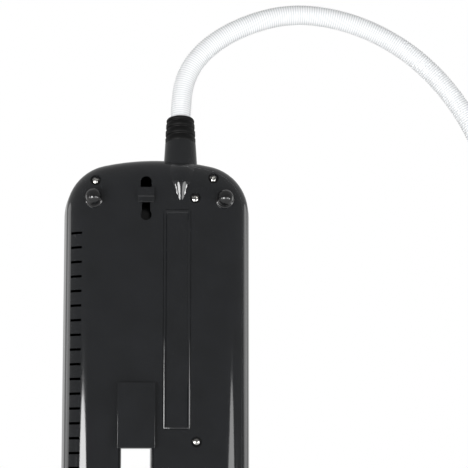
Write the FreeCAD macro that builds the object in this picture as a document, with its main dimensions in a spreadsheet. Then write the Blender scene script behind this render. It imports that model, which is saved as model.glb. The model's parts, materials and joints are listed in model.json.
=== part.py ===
# A slim upright canister filter with its ribbed outlet hose. Millimetres, +Z up.
# The wall side, with the hanger loop, faces -Y, and the media door faces +Y.
# The origin is the middle of the foot pad's underside.
import FreeCAD, Part
import math
import os
import Sketcher
from FreeCAD import Rotation, Vector

SIZES = {
    "housing_width": 148.0,
    "housing_height": 490.0,
    "half_depth": 47.0,
    "wall": 2.6,
    "crown_radius": 200.0,
    "corner_radius": 40.0,
    "skirt_drop": 22.0,
    "draft": 5.0,
    "rim_fillet": 18.0,
    "fit_gap": 0.15,
    "pad_thickness": 3.0,
    "pad_margin": 4.0,
    "plate_thickness": 5.0,
    "slot_count": 34.0,
    "slot_foot": 55.6,
    "slot_height": 1.9,
    "slot_drop": 61.5,
    "slot_inset": 6.8,
    "slot_length": 8.6,
    "spout_x": 18.0,
    "spout_y": 27.0,
    "spout_drop": 8.6,
    "spout_tilt": 12.0,
    "neck_root_radius": 13.4,
    "neck_tip_radius": 12.2,
    "neck_length": 21.0,
    "neck_bore": 9.3,
    "duct_x": 15.2,
    "duct_y": 35.0,
    "duct_radius": 6.2,
    "duct_bore": 4.9,
    "panel_width": 21.6,
    "panel_length": 170.6,
    "panel_drop": 43.6,
    "panel_recess": 1.2,
    "panel_proud": 0.35,
    "hanger_x": 9.2,
    "hanger_length": 26.0,
    "hanger_drop": 22.0,
    "hanger_width": 8.6,
    "hanger_waist": 6.4,
    "bridge_height": 11.0,
    "bridge_drop": 27.0,
    "bridge_width": 12.0,
    "bridge_rise": 4.4,
    "bridge_wall": 2.0,
    "opening_left": 28.9,
    "opening_right": 2.4,
    "opening_height": 53.0,
    "opening_drop": 227.5,
    "liner_wall": 1.6,
    "pocket_height": 49.1,
    "pocket_rise": 6.0,
    "pocket_wall": 2.4,
    "pocket_depth": 9.5,
    "pocket_lip": 1.2,
    "bumper_left_inset": 24.2,
    "bumper_right_inset": 21.9,
    "bumper_drop": 35.5,
    "ball_radius": 5.7,
    "ball_reach": 9.6,
    "flange_radius": 7.6,
    "flange_thickness": 1.6,
    "seat_depth": 12.0,
    "stem_radius": 2.6,
    "screw_head_radius": 3.1,
    "screw_head_height": 2.1,
    "screw_radius": 1.6,
    "screw_length": 16.0,
    "screw_bite": 10.0,
    "recess_radius": 4.2,
    "recess_depth": 4.6,
    "crown_recess_depth": 7.5,
    "boss_radius": 5.4,
    "hose_radius": 8.0,
    "hose_valley_radius": 7.4,
    "hose_bore_radius": 6.4,
    "rib_pitch": 24.0,
    "barb_radius": 6.1,
    "barb_bore": 4.6,
    "barb_length": 57.0,
    "cuff_length": 18.2,
    "cuff_radius": 12.0,
    "cuff_tip_radius": 11.1,
    "door_inset": 25.0,
    "door_height": 144.0,
    "door_drop": 58.0,
    "door_lip": 5.0,
    "door_thickness": 3.2,
    "gasket_thickness": 1.4,
    "gasket_width": 4.2,
    "hinge_radius": 3.2,
    "hinge_pin_radius": 1.25,
    "hinge_gap": 0.6,
    "latch_width": 16.0,
    "latch_travel": 4.0,
    "basket_inset": 9.0,
    "basket_back": 15.0,
    "basket_front": 38.0,
    "basket_reveal": 8.0,
    "basket_wall": 1.6,
    "ledge_overlap": 10.0,
    "ledge_thickness": 4.7,
    "pump_y": 2.0,
    "motor_width": 54.0,
    "motor_depth": 48.0,
    "motor_height": 62.0,
    "motor_wall": 2.4,
    "rotor_radius": 9.0,
    "rotor_gap": 0.6,
    "impeller_radius": 17.0,
    "impeller_height": 8.0,
    "shaft_radius": 1.5,
}

doc = FreeCAD.newDocument("canister_filter")
sheet = doc.addObject("Spreadsheet::Sheet", "Sizes")
for row, (alias, number) in enumerate(SIZES.items(), 1):
    sheet.set(f"A{row}", alias)
    sheet.set(f"B{row}", str(number))
    sheet.setAlias(f"B{row}", alias)
doc.recompute()


class Size:
    """A size in millimetres, with the sheet expression that it comes from."""

    def __init__(self, number, text):
        self.number = float(number)
        self.text = text

    @staticmethod
    def of(thing):
        return thing if isinstance(thing, Size) else Size(thing, repr(float(thing)))

    def __add__(self, other):
        other = Size.of(other)
        return Size(self.number + other.number, f"({self.text} + {other.text})")

    def __sub__(self, other):
        other = Size.of(other)
        return Size(self.number - other.number, f"({self.text} - {other.text})")

    def __mul__(self, other):
        other = Size.of(other)
        return Size(self.number * other.number, f"({self.text} * {other.text})")

    def __truediv__(self, other):
        other = Size.of(other)
        return Size(self.number / other.number, f"({self.text} / {other.text})")

    def __neg__(self):
        return Size(-self.number, f"(-1 * {self.text})")

    def __radd__(self, other):
        return Size.of(other) + self

    def __rsub__(self, other):
        return Size.of(other) - self

    def __rmul__(self, other):
        return Size.of(other) * self

    def __float__(self):
        return self.number


def size(alias):
    return Size(SIZES[alias], f"Sizes.{alias}")


def bind(thing, path, value):
    thing.setExpression(path, Size.of(value).text)


def place(thing, x, y, z, axis=Vector(0, 0, 1), angle=0.0):
    """Gives an object its place, with each coordinate bound to the sheet."""
    turn = Rotation(axis, float(angle))
    thing.Placement = FreeCAD.Placement(Vector(float(x), float(y), float(z)), turn)
    for name, value in zip("xyz", (x, y, z)):
        bind(thing, f"Placement.Base.{name}", value)
    return thing


def box(name, x, y, z):
    """A block from three pairs of low and high coordinates."""
    made = doc.addObject("Part::Box", name)
    for side, (low, high) in zip(("Length", "Width", "Height"), (x, y, z)):
        setattr(made, side, float(high) - float(low))
        bind(made, side, Size.of(high) - low)
    return place(made, x[0], y[0], z[0])


def rod(name, radius, start, length, along="z"):
    """A cylinder from a start point, along one axis of the frame."""
    made = doc.addObject("Part::Cylinder", name)
    made.Radius, made.Height = float(radius), float(length)
    bind(made, "Radius", radius)
    bind(made, "Height", length)
    axis, angle = {
        "z": (Vector(0, 0, 1), 0),
        "y": (Vector(1, 0, 0), -90),
        "x": (Vector(0, 1, 0), 90),
    }[along]
    return place(made, *start, axis, angle)


def tapered(name, low_radius, high_radius, start, length, axis, angle):
    made = doc.addObject("Part::Cone", name)
    made.Radius1, made.Radius2, made.Height = (
        float(low_radius),
        float(high_radius),
        float(length),
    )
    bind(made, "Radius1", low_radius)
    bind(made, "Radius2", high_radius)
    bind(made, "Height", length)
    return place(made, *start, axis, angle)


def fuse(name, *parts):
    made = doc.addObject("Part::MultiFuse", name)
    made.Shapes = list(parts)
    made.Refine = True
    return made


def cut(name, base, *tools):
    made = doc.addObject("Part::Cut", name)
    made.Base = base
    made.Tool = tools[0] if len(tools) == 1 else fuse(name + "_tools", *tools)
    return made


def shared(name, first, second):
    made = doc.addObject("Part::Common", name)
    made.Base, made.Tool = first, second
    return made


def new_body(name):
    return doc.addObject("PartDesign::Body", name)


def new_sketch(body, name, role):
    """A sketch on one of the body's own origin planes."""
    sketch = body.newObject("Sketcher::SketchObject", name)
    plane = next(f for f in body.Origin.OriginFeatures if f.Role == role)
    sketch.AttachmentSupport = [(plane, "")]
    sketch.MapMode = "FlatFace"
    return sketch


def pin_point(sketch, curve, end, x, y):
    """Ties one end of a curve to bound distances from the sketch's origin."""
    for kind, value in (("DistanceX", x), ("DistanceY", y)):
        index = sketch.addConstraint(
            Sketcher.Constraint(kind, -1, 1, curve, end, float(value))
        )
        bind(sketch, f"Constraints[{index}]", value)


def draw_outline(sketch, points):
    """A closed outline of straight lines through bound points."""
    corners = [Vector(float(x), float(y), 0) for x, y in points]
    for index, corner in enumerate(corners):
        after = corners[(index + 1) % len(corners)]
        sketch.addGeometry(Part.LineSegment(corner, after), False)
    for index in range(len(corners)):
        after = (index + 1) % len(corners)
        sketch.addConstraint(Sketcher.Constraint("Coincident", index, 2, after, 1))
    for index, (x, y) in enumerate(points):
        pin_point(sketch, index, 1, x, y)


def pad(body, sketch, length, reversed_way=False):
    made = body.newObject("PartDesign::Pad", sketch.Name + "_pad")
    made.Profile = sketch
    made.Length = float(length)
    made.Reversed = reversed_way
    bind(made, "Length", length)
    return made


def turned(name, points):
    """A revolved piece from a half section: radius first, then height along Z."""
    body = new_body(name)
    sketch = new_sketch(body, name + "_section", "XZ_Plane")
    draw_outline(sketch, points)
    spin = body.newObject("PartDesign::Revolution", name + "_spin")
    spin.Profile = sketch
    spin.ReferenceAxis = (sketch, ["V_Axis"])
    spin.Angle = 360.0
    return body


def plain(name, shape):
    """A feature whose shape is worked out here from the sheet's sizes."""
    made = doc.addObject("Part::Feature", name)
    made.Shape = shape
    return made


nodes = {}


def keep(name, thing):
    """Labels a finished sub-part; the label names its file."""
    thing.Label = name
    nodes[name] = thing
    return thing


# Sizes that several pieces share
half_width = size("housing_width") / 2
top = size("housing_height")
depth = size("half_depth")
wall = size("wall")
gap = size("fit_gap")
inside = depth - wall
base_level = size("pad_thickness") + size("plate_thickness")

# Levels that keep their distance from the crown, and places that keep theirs from the sides
spout_z = top - size("spout_drop")
slot_top = top - size("slot_drop")
slot_outer = half_width - size("slot_inset")
slot_inner = slot_outer - size("slot_length")
panel_top = top - size("panel_drop")
panel_bottom = panel_top - size("panel_length")
hanger_top = top - size("hanger_drop")
hanger_bottom = hanger_top - size("hanger_length")
bridge_top = top - size("bridge_drop")
bridge_bottom = bridge_top - size("bridge_height")
opening_top = top - size("opening_drop")
opening_bottom = opening_top - size("opening_height")
pocket_top = opening_top + size("pocket_height")
bumper_z = top - size("bumper_drop")
door_top = top - size("door_drop")
door_bottom = door_top - size("door_height")
door_half = half_width - size("door_inset")
latch_z = (door_bottom + door_top) / 2
basket_low = door_bottom + size("basket_reveal")
basket_high = door_top - size("basket_reveal")
basket_half = door_half - size("basket_inset")


# Housing form: one half of the drafted, rounded outer shape, or the space inside it
def outline_sketch(body, name, inset):
    """The rounded outline on the parting plane, drawn in from the widest one."""
    sketch = new_sketch(body, name, "XZ_Plane")
    side = half_width - inset
    corner = size("corner_radius") - inset
    crown = size("crown_radius") - inset
    crown_z = top - size("crown_radius")
    low = inset - size("skirt_drop")
    centre_x = float(half_width) - SIZES["corner_radius"]
    centre_z = float(crown_z) + math.sqrt((float(crown) - float(corner)) ** 2 - centre_x**2)
    lean = math.atan2(centre_x, centre_z - float(crown_z))
    foot_z = float(low) + float(corner)
    quarter = math.pi / 2

    def arc(x, z, radius, start, end):
        circle = Part.Circle(Vector(x, z, 0), Vector(0, 0, 1), radius)
        return Part.ArcOfCircle(circle, start, end)

    curves = [
        Part.LineSegment(Vector(float(side), foot_z, 0), Vector(float(side), centre_z, 0)),
        arc(centre_x, centre_z, float(corner), 0, quarter - lean),
        arc(0, float(crown_z), float(crown), quarter - lean, quarter + lean),
        arc(-centre_x, centre_z, float(corner), quarter + lean, 2 * quarter),
        Part.LineSegment(Vector(-float(side), centre_z, 0), Vector(-float(side), foot_z, 0)),
        arc(-centre_x, foot_z, float(corner), 2 * quarter, 3 * quarter),
        Part.LineSegment(Vector(-centre_x, float(low), 0), Vector(centre_x, float(low), 0)),
        arc(centre_x, foot_z, float(corner), 3 * quarter, 4 * quarter),
    ]
    for curve in curves:
        sketch.addGeometry(curve, False)
    for first in range(len(curves)):
        second = (first + 1) % len(curves)
        sketch.addConstraint(Sketcher.Constraint("Tangent", first, 2, second, 1))
    sketch.addConstraint(Sketcher.Constraint("Vertical", 0))
    sketch.addConstraint(Sketcher.Constraint("Vertical", 4))
    sketch.addConstraint(Sketcher.Constraint("Horizontal", 6))
    for curve, radius in ((1, corner), (3, corner), (5, corner), (7, corner), (2, crown)):
        index = sketch.addConstraint(Sketcher.Constraint("Radius", curve, float(radius)))
        bind(sketch, f"Constraints[{index}]", radius)
    for curve, value in ((0, side), (4, -side)):
        index = sketch.addConstraint(
            Sketcher.Constraint("DistanceX", -1, 1, curve, 1, float(value))
        )
        bind(sketch, f"Constraints[{index}]", value)
    for curve, end, value in ((2, 3, crown_z), (6, 1, low)):
        index = sketch.addConstraint(
            Sketcher.Constraint("DistanceY", -1, 1, curve, end, float(value))
        )
        bind(sketch, f"Constraints[{index}]", value)
    return sketch


def ring_edges(feature, level):
    """Names of the feature's edges that lie in one plane square to Y."""
    return [
        f"Edge{number}"
        for number, edge in enumerate(feature.Shape.Edges, 1)
        if all(abs(vertex.Point.y - level) < 0.001 for vertex in edge.Vertexes)
    ]


def housing_form(name, inset, faces_front):
    """The outline drawn from the parting plane with its draft, and with a round rim."""
    body = new_body(name)
    sketch = outline_sketch(body, name + "_outline", inset)
    drafted = pad(body, sketch, depth - inset, faces_front)
    drafted.TaperAngle = -SIZES["draft"]
    bind(drafted, "TaperAngle", -size("draft"))
    doc.recompute()
    level = float(depth - inset) * (1 if faces_front else -1)
    rim = body.newObject("PartDesign::Fillet", name + "_rim")
    rim.Base = (drafted, ring_edges(drafted, level))
    rim.Radius = SIZES["rim_fillet"] - float(inset)
    bind(rim, "Radius", size("rim_fillet") - inset)
    body.Tip = rim
    return body


rear_outer = housing_form("rear_outer", Size.of(0), False)
rear_inner = housing_form("rear_inner", wall, False)
front_outer = housing_form("front_outer", Size.of(0), True)
front_inner = housing_form("front_inner", wall, True)
wide = half_width + 20
deep = depth + 20
below = box("below_base", (-wide, wide), (-deep, deep), (Size.of(-60), base_level))

# Screws that close the two shells: x, z and recess depth, as seen on the wall side
# The two at the crown sit in the round rim, so their recesses go deeper.
shallow = size("recess_depth")
deeper = size("crown_recess_depth")
CLOSING_SCREWS = [
    (25.5 - half_width, top - 20.7, deeper),
    (half_width - 30.6, top - 18.4, deeper),
    (Size.of(29.2), top - 34.4, shallow),
    (Size.of(30.7), top - 223.4, shallow),
    (34.0 - half_width, Size.of(40.0), shallow),
    (Size.of(-14.0), Size.of(150.0), shallow),
]
bosses = [
    rod(f"boss_{i}", size("boss_radius"), (x, -depth, z), depth, "y")
    for i, (x, z, recess) in enumerate(CLOSING_SCREWS)
]
recesses = [
    rod(f"recess_{i}", size("recess_radius"), (x, -depth - 2, z), recess + 2, "y")
    for i, (x, z, recess) in enumerate(CLOSING_SCREWS)
]
screw_bores = [
    rod(f"screw_bore_{i}", size("screw_radius") + gap, (x, -depth, z), depth + 1, "y")
    for i, (x, z, recess) in enumerate(CLOSING_SCREWS)
]

# Spout: a conical neck on the crown that leans away from the wall, faired into the wall face
tilt = -size("spout_tilt")
spout_foot = (size("spout_x"), -size("spout_y"), spout_z)
lean_y = math.sin(math.radians(SIZES["spout_tilt"]))
lean_z = math.cos(math.radians(SIZES["spout_tilt"]))
across = Vector(1, 0, 0)


def along_spout(distance):
    """A point on the spout's axis, measured up from its foot."""
    lean = Size(lean_y, "sin(Sizes.spout_tilt * 1deg)")
    rise = Size(lean_z, "cos(Sizes.spout_tilt * 1deg)")
    return (
        spout_foot[0],
        spout_foot[1] + lean * distance,
        spout_foot[2] + rise * distance,
    )


NECK_BELOW = 12.0
neck = tapered(
    "neck",
    size("neck_root_radius") + 0.7,
    size("neck_tip_radius"),
    along_spout(Size.of(-NECK_BELOW)),
    size("neck_length") + NECK_BELOW,
    across,
    tilt,
)
neck_bore = tapered(
    "neck_bore",
    size("neck_bore"),
    size("neck_bore"),
    along_spout(Size.of(-NECK_BELOW - 4)),
    size("neck_length") + NECK_BELOW + 8,
    across,
    tilt,
)
# Fairing rings: height above the spout's foot, depth under the wall face, radius
FAIRING_RINGS = [(3.0, 20.4, 13.3), (-9.0, 9.1, 12.0), (-20.0, 5.4, 7.0), (-33.0, 1.2, 1.6)]
fairing_rings = []
for rise, under, radius in FAIRING_RINGS:
    centre = Vector(SIZES["spout_x"], under - SIZES["half_depth"], float(spout_z) + rise)
    fairing_rings.append(Part.Wire(Part.makeCircle(radius, centre, Vector(0, 0, 1))))
fairing = plain("fairing", Part.makeLoft(fairing_rings, True, False))

# Hanger loop: a keyhole slot in the wall face, crossed by a raised bridge
hang_x = -size("hanger_x")
slot_half = size("hanger_width") / 2
waist_half = size("hanger_waist") / 2
through = (-depth - 1, -inside + 1.6)
hanger_cuts = [
    rod("hang_top", slot_half, (hang_x, through[0], hanger_top), wall + 2.6, "y"),
    box(
        "hang_slot",
        (hang_x - slot_half, hang_x + slot_half),
        through,
        (bridge_bottom, hanger_top),
    ),
    box(
        "hang_waist",
        (hang_x - waist_half, hang_x + waist_half),
        through,
        (hanger_bottom, bridge_bottom + 0.5),
    ),
    rod("hang_low", slot_half, (hang_x, through[0], hanger_bottom), wall + 2.6, "y"),
]
bridge_half = size("bridge_width") / 2
bridge_block = box(
    "bridge_block",
    (hang_x - bridge_half, hang_x + bridge_half),
    (-depth - size("bridge_rise"), -depth + 0.5),
    (bridge_bottom, bridge_top),
)
bridge_under = box(
    "bridge_under",
    (hang_x - bridge_half + size("bridge_wall"), hang_x + bridge_half - size("bridge_wall")),
    (-depth - size("bridge_rise") + size("bridge_wall"), -inside + 0.5),
    (bridge_bottom - 0.5, bridge_top + 0.5),
)

# Hook pocket: a moulded insert in the wall face, whose cavity opens down into the opening
open_left = -size("opening_left")
open_right = -size("opening_right")
liner_wall = size("liner_wall")
pocket_wall = size("pocket_wall")
pocket_back = -depth + size("pocket_depth") - size("pocket_rise") + pocket_wall
pocket_lip = size("pocket_lip")
pocket_cover = box(
    "pocket_cover",
    (open_left - pocket_lip, open_right + pocket_lip),
    (-depth - size("pocket_rise"), -depth),
    (opening_top - 0.8, pocket_top),
)
pocket_inner = box(
    "pocket_inner",
    (open_left, open_right),
    (-depth - 0.5, pocket_back + liner_wall),
    (opening_top + liner_wall + gap, pocket_top - pocket_lip),
)
pocket_heel = box(
    "pocket_heel",
    (open_left, open_right),
    (-depth - 0.5, -inside - gap),
    (opening_top, opening_top + liner_wall + 1),
)
pocket_cavity = box(
    "pocket_cavity",
    (open_left + liner_wall, open_right - liner_wall),
    (-depth - size("pocket_rise") + pocket_wall, pocket_back),
    (opening_top - 2, pocket_top - pocket_wall),
)
pocket_full = fuse("pocket_full", pocket_cover, pocket_inner, pocket_heel)
keep("hook_pocket", cut("hook_pocket_cut", pocket_full, pocket_cavity))
pocket_hole = box(
    "pocket_hole",
    (open_left - gap, open_right + gap),
    (-depth - 1, -inside + 0.5),
    (opening_top - 1, pocket_top - pocket_lip + gap),
)
rear_opening = box(
    "rear_opening",
    (open_left, open_right),
    (-depth - 1, -inside + 0.5),
    (opening_bottom, opening_top),
)

# Intake slots: a comb of level cuts through the left side, made as a linear pattern
comb = new_body("comb")
comb_sketch = new_sketch(comb, "comb_section", "XZ_Plane")
slot_low = slot_top - size("slot_height")
draw_outline(
    comb_sketch,
    [
        (-slot_outer, slot_low),
        (-slot_inner, slot_low),
        (-slot_inner, slot_top),
        (-slot_outer, slot_top),
    ],
)
slot_pad = pad(comb, comb_sketch, depth + 4)
slot_row = comb.newObject("PartDesign::LinearPattern", "slot_row")
slot_row.Originals = [slot_pad]
slot_row.Direction = (comb_sketch, ["V_Axis"])
slot_row.Reversed = True
slot_row.Length = float(slot_top) - SIZES["slot_foot"]
slot_row.Occurrences = int(SIZES["slot_count"])
bind(slot_row, "Length", slot_top - size("slot_foot"))
bind(slot_row, "Occurrences", size("slot_count"))
comb.Tip = slot_row

# Long panel that closes the riser's channel, and its shallow seat in the wall face
panel_half = size("panel_width") / 2
duct_x = size("duct_x")


def panel_form(name, margin, low_y, high_y):
    radius = 3.0
    body = new_body(name)
    sketch = new_sketch(body, name + "_outline", "XZ_Plane")
    draw_outline(
        sketch,
        [
            (duct_x - panel_half + margin, panel_bottom + margin),
            (duct_x + panel_half - margin, panel_bottom + margin),
            (duct_x + panel_half - margin, panel_top - margin),
            (duct_x - panel_half + margin, panel_top - margin),
        ],
    )
    made = pad(body, sketch, Size.of(high_y) - low_y)
    doc.recompute()
    upright = [
        f"Edge{number}"
        for number, edge in enumerate(made.Shape.Edges, 1)
        if abs(edge.tangentAt(edge.FirstParameter).y) > 0.9
    ]
    fillet = body.newObject("PartDesign::Fillet", name + "_corners")
    fillet.Base = (made, upright)
    fillet.Radius = radius
    body.Tip = fillet
    return place(body, 0.0, high_y, 0.0)


panel_seat = panel_form("panel_seat", Size.of(0), -depth - 1, -depth + size("panel_recess"))
keep(
    "duct_cover",
    panel_form(
        "duct_cover_body",
        gap + 0.1,
        -depth - size("panel_proud"),
        -depth + size("panel_recess"),
    ),
)

# Rear shell
bumper_places = [size("bumper_left_inset") - half_width, half_width - size("bumper_right_inset")]
bumper_holes = [
    rod(f"bumper_hole_{i}", size("stem_radius") + gap, (x, -depth - 1, bumper_z), wall + 3, "y")
    for i, x in enumerate(bumper_places)
]
bumper_seats = [
    rod(f"bumper_seat_{i}", size("flange_radius"), (x, -depth, bumper_z), size("seat_depth"), "y")
    for i, x in enumerate(bumper_places)
]
GLAND_X, GLAND_Z, GLAND_RADIUS = 42.0, 30.0, 5.0
gland_hole = rod("gland_hole", GLAND_RADIUS + gap, (GLAND_X, -depth - 1, GLAND_Z), wall + 3, "y")
posts_rear = [
    box(f"rear_post_{i}", (x - 5.0, x + 5.0), (-inside - 0.5, -inside + 9.0), (base_level, base_level + 18))
    for i, x in enumerate((-24.0, 24.0))
]
POST_SCREW_Y = 5.0
posts_front = [
    box(f"front_post_{i}", (x - 5.0, x + 5.0), (inside - 9.0, inside + 0.5), (base_level, base_level + 18))
    for i, x in enumerate((-24.0, 24.0))
]
base_screw_spots = [
    (x, y)
    for x in (-24.0, 24.0)
    for y in (-inside + POST_SCREW_Y, inside - POST_SCREW_Y)
]
post_bores = [
    rod(f"post_bore_{i}", size("screw_radius") + gap, (x, y, base_level - 1), Size.of(16.0))
    for i, (x, y) in enumerate(base_screw_spots)
]
# Ledges that carry the media basket, two on the wall side and one below the media opening
ledge_levels = (basket_low - 0.3 - size("ledge_thickness"), basket_low - 0.3)
LEDGE_SPANS = [(3.0 - basket_half, 10.5 - basket_half), (basket_half - 14.0, basket_half - 4.0)]
ledges_rear = [
    box(
        f"rear_ledge_{i}",
        span,
        (-inside - 0.5, -size("basket_back") + size("ledge_overlap")),
        ledge_levels,
    )
    for i, span in enumerate(LEDGE_SPANS)
]
ledge_front = box(
    "front_ledge",
    (-basket_half, basket_half),
    (size("basket_front") - size("ledge_overlap"), inside + 0.5),
    ledge_levels,
)
rear_skin = fuse("rear_skin", rear_outer, neck, fairing, bridge_block, *bumper_seats)
rear_hollow = cut("rear_hollow", rear_skin, rear_inner)
boss_row = fuse("boss_row", *bosses)
boss_trim = shared("boss_trim", boss_row, rear_outer)
rear_full = fuse("rear_full", rear_hollow, boss_trim, *posts_rear, *ledges_rear)
keep(
    "rear_shell",
    cut(
        "rear_shell_cut",
        rear_full,
        below,
        comb,
        neck_bore,
        bridge_under,
        pocket_hole,
        rear_opening,
        panel_seat,
        gland_hole,
        *hanger_cuts,
        *recesses,
        *screw_bores,
        *bumper_holes,
        *post_bores,
    ),
)

# Through opening's liner: a moulded sleeve from wall face to front face
liner_outer = box(
    "liner_outer",
    (open_left + gap, open_right - gap),
    (-inside, depth),
    (opening_bottom - liner_wall, opening_top + liner_wall),
)
liner_bore = box(
    "liner_bore",
    (open_left + liner_wall, open_right - liner_wall),
    (-inside - 1, depth + 1),
    (opening_bottom, opening_top),
)
liner_notch = box(
    "liner_notch",
    (open_left + liner_wall, open_right - liner_wall),
    (-inside - 1, pocket_back),
    (opening_top - 1, opening_top + liner_wall + 1),
)
keep("tunnel_liner", cut("tunnel_liner_cut", liner_outer, liner_bore, liner_notch))

# Front shell with the media opening, hinge lugs and latch keeper
door_lip = size("door_lip")
media_hole = box(
    "media_hole",
    (-door_half + door_lip, door_half - door_lip),
    (inside - 1, depth + 1),
    (door_bottom + door_lip, door_top - door_lip),
)
front_hole = box(
    "front_hole",
    (open_left, open_right),
    (inside - 1, depth + 1),
    (opening_bottom - liner_wall - gap, opening_top + liner_wall + gap),
)
hinge_x = -door_half - size("hinge_radius") - size("hinge_gap")
hinge_y = depth + size("hinge_radius") + 0.8
door_mid = (door_bottom + door_top) / 2
door_length = door_top - door_bottom
KNUCKLE = 14.0
lug_parts = []
for index, low in enumerate((door_bottom + 8, door_top - 8 - KNUCKLE)):
    lug_parts.append(rod(f"lug_{index}", size("hinge_radius"), (hinge_x, hinge_y, low), KNUCKLE))
    lug_parts.append(
        box(
            f"lug_web_{index}",
            (hinge_x - 1.8, hinge_x + 1.8),
            (inside, hinge_y),
            (low, low + KNUCKLE),
        )
    )
door_back = depth + 0.3 + size("gasket_thickness")
door_face = door_back + size("door_thickness")
tongue_half = size("latch_width") / 2 - 3
keeper_x = door_half + 1.4
keeper = box(
    "keeper",
    (keeper_x, keeper_x + 4.2),
    (inside, door_face + 4.4),
    (latch_z - 9, latch_z + 9),
)
keeper_notch = box(
    "keeper_notch",
    (keeper_x - 1, keeper_x + 2.6),
    (door_face + 0.1, door_face + 2.4),
    (latch_z - tongue_half - 0.5, latch_z + tongue_half + 0.5),
)
front_pin_bore = rod(
    "front_pin_bore",
    size("hinge_pin_radius") + 0.05,
    (hinge_x, hinge_y, door_bottom),
    door_length,
)
front_skin = cut("front_skin", front_outer, front_inner)
front_bosses = [
    rod(f"front_boss_{i}", size("boss_radius") - 1, (x, 0.0, z), inside + 0.5, "y")
    for i, (x, z, recess) in enumerate(CLOSING_SCREWS)
]
front_boss_row = fuse("front_boss_row", *front_bosses)
front_boss_trim = shared("front_boss_trim", front_boss_row, front_outer)
front_screw_bores = [
    rod(f"front_screw_bore_{i}", size("screw_radius") + gap, (x, -1.0, z), size("screw_bite") + 4, "y")
    for i, (x, z, recess) in enumerate(CLOSING_SCREWS)
]
front_full = fuse("front_full", front_skin, front_boss_trim, keeper, ledge_front, *lug_parts, *posts_front)
keep(
    "front_shell",
    cut(
        "front_shell_cut",
        front_full,
        below,
        media_hole,
        front_hole,
        keeper_notch,
        front_pin_bore,
        *front_screw_bores,
        *post_bores,
    ),
)

# Base plate and the rubber pad that the filter stands on
plate_slab = box("plate_slab", (-wide, wide), (-deep, deep), (size("pad_thickness"), base_level))
whole_form = fuse("whole_form", rear_outer, front_outer)
plate_full = shared("plate_full", whole_form, plate_slab)
plate_bores = [
    rod(f"plate_bore_{i}", size("screw_radius") + gap, (x, y, 0.0), base_level + 1)
    for i, (x, y) in enumerate(base_screw_spots)
]
plate_sinks = [
    rod(
        f"plate_sink_{i}",
        size("screw_head_radius") + 0.3,
        (x, y, 0.0),
        size("pad_thickness") + size("screw_head_height") + 0.3,
    )
    for i, (x, y) in enumerate(base_screw_spots)
]
keep("base_plate", cut("base_plate_cut", plate_full, *plate_bores, *plate_sinks))
pad_slab = box("pad_slab", (-wide, wide), (-deep, deep), (Size.of(0), size("pad_thickness")))
pad_rear = housing_form("pad_rear", size("pad_margin"), False)
pad_front = housing_form("pad_front", size("pad_margin"), True)
pad_form = fuse("pad_form", pad_rear, pad_front)
pad_low = shared("pad_low", pad_form, pad_slab)
keep("base_pad", cut("base_pad_cut", pad_low, *plate_sinks))


# Screws, as groups of like fasteners
def screw_solid(length):
    """One screw, head at the origin, pointing along +Z."""
    head_height = SIZES["screw_head_height"]
    head = Part.makeCylinder(SIZES["screw_head_radius"], head_height)
    shank = Part.makeCylinder(SIZES["screw_radius"], length, Vector(0, 0, head_height))
    return head.fuse(shank).removeSplitter()


closing = []
for x, z, recess in CLOSING_SCREWS:
    recess_floor = float(depth - recess)
    one = screw_solid(recess_floor + SIZES["screw_bite"])
    one.rotate(Vector(), Vector(1, 0, 0), -90)
    seat = recess_floor + SIZES["screw_head_height"]
    one.translate(Vector(float(x), -seat, float(z)))
    closing.append(one)
keep("shell_screws", plain("shell_screws_set", Part.makeCompound(closing)))
lifting = []
for x, y in base_screw_spots:
    one = screw_solid(SIZES["screw_length"])
    one.translate(Vector(x, float(y), SIZES["pad_thickness"] + 0.2))
    lifting.append(one)
keep("base_screws", plain("base_screws_set", Part.makeCompound(lifting)))

# Bumpers: soft domes on the wall face, each held by a stem through its hole
ball_z = size("ball_reach")
ball_radius = size("ball_radius")


def bumper(name, x):
    dome = doc.addObject("Part::Sphere", name + "_dome")
    dome.Radius = float(ball_radius)
    bind(dome, "Radius", ball_radius)
    place(dome, x, -depth - ball_z, bumper_z)
    stalk = tapered(
        name + "_stalk",
        size("flange_radius") - 1.6,
        ball_radius - 0.6,
        (x, -depth - 0.5, bumper_z),
        ball_z - 0.5,
        Vector(1, 0, 0),
        90.0,
    )
    flange = rod(
        name + "_flange",
        size("flange_radius"),
        (x, -depth - size("flange_thickness"), bumper_z),
        size("flange_thickness"),
        "y",
    )
    stem = rod(name + "_stem", size("stem_radius"), (x, -depth - 0.5, bumper_z), wall + 2, "y")
    return fuse(name + "_fuse", dome, stalk, flange, stem)


keep("bumper_left", bumper("left", bumper_places[0]))
keep("bumper_right", bumper("right", bumper_places[1]))

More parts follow.
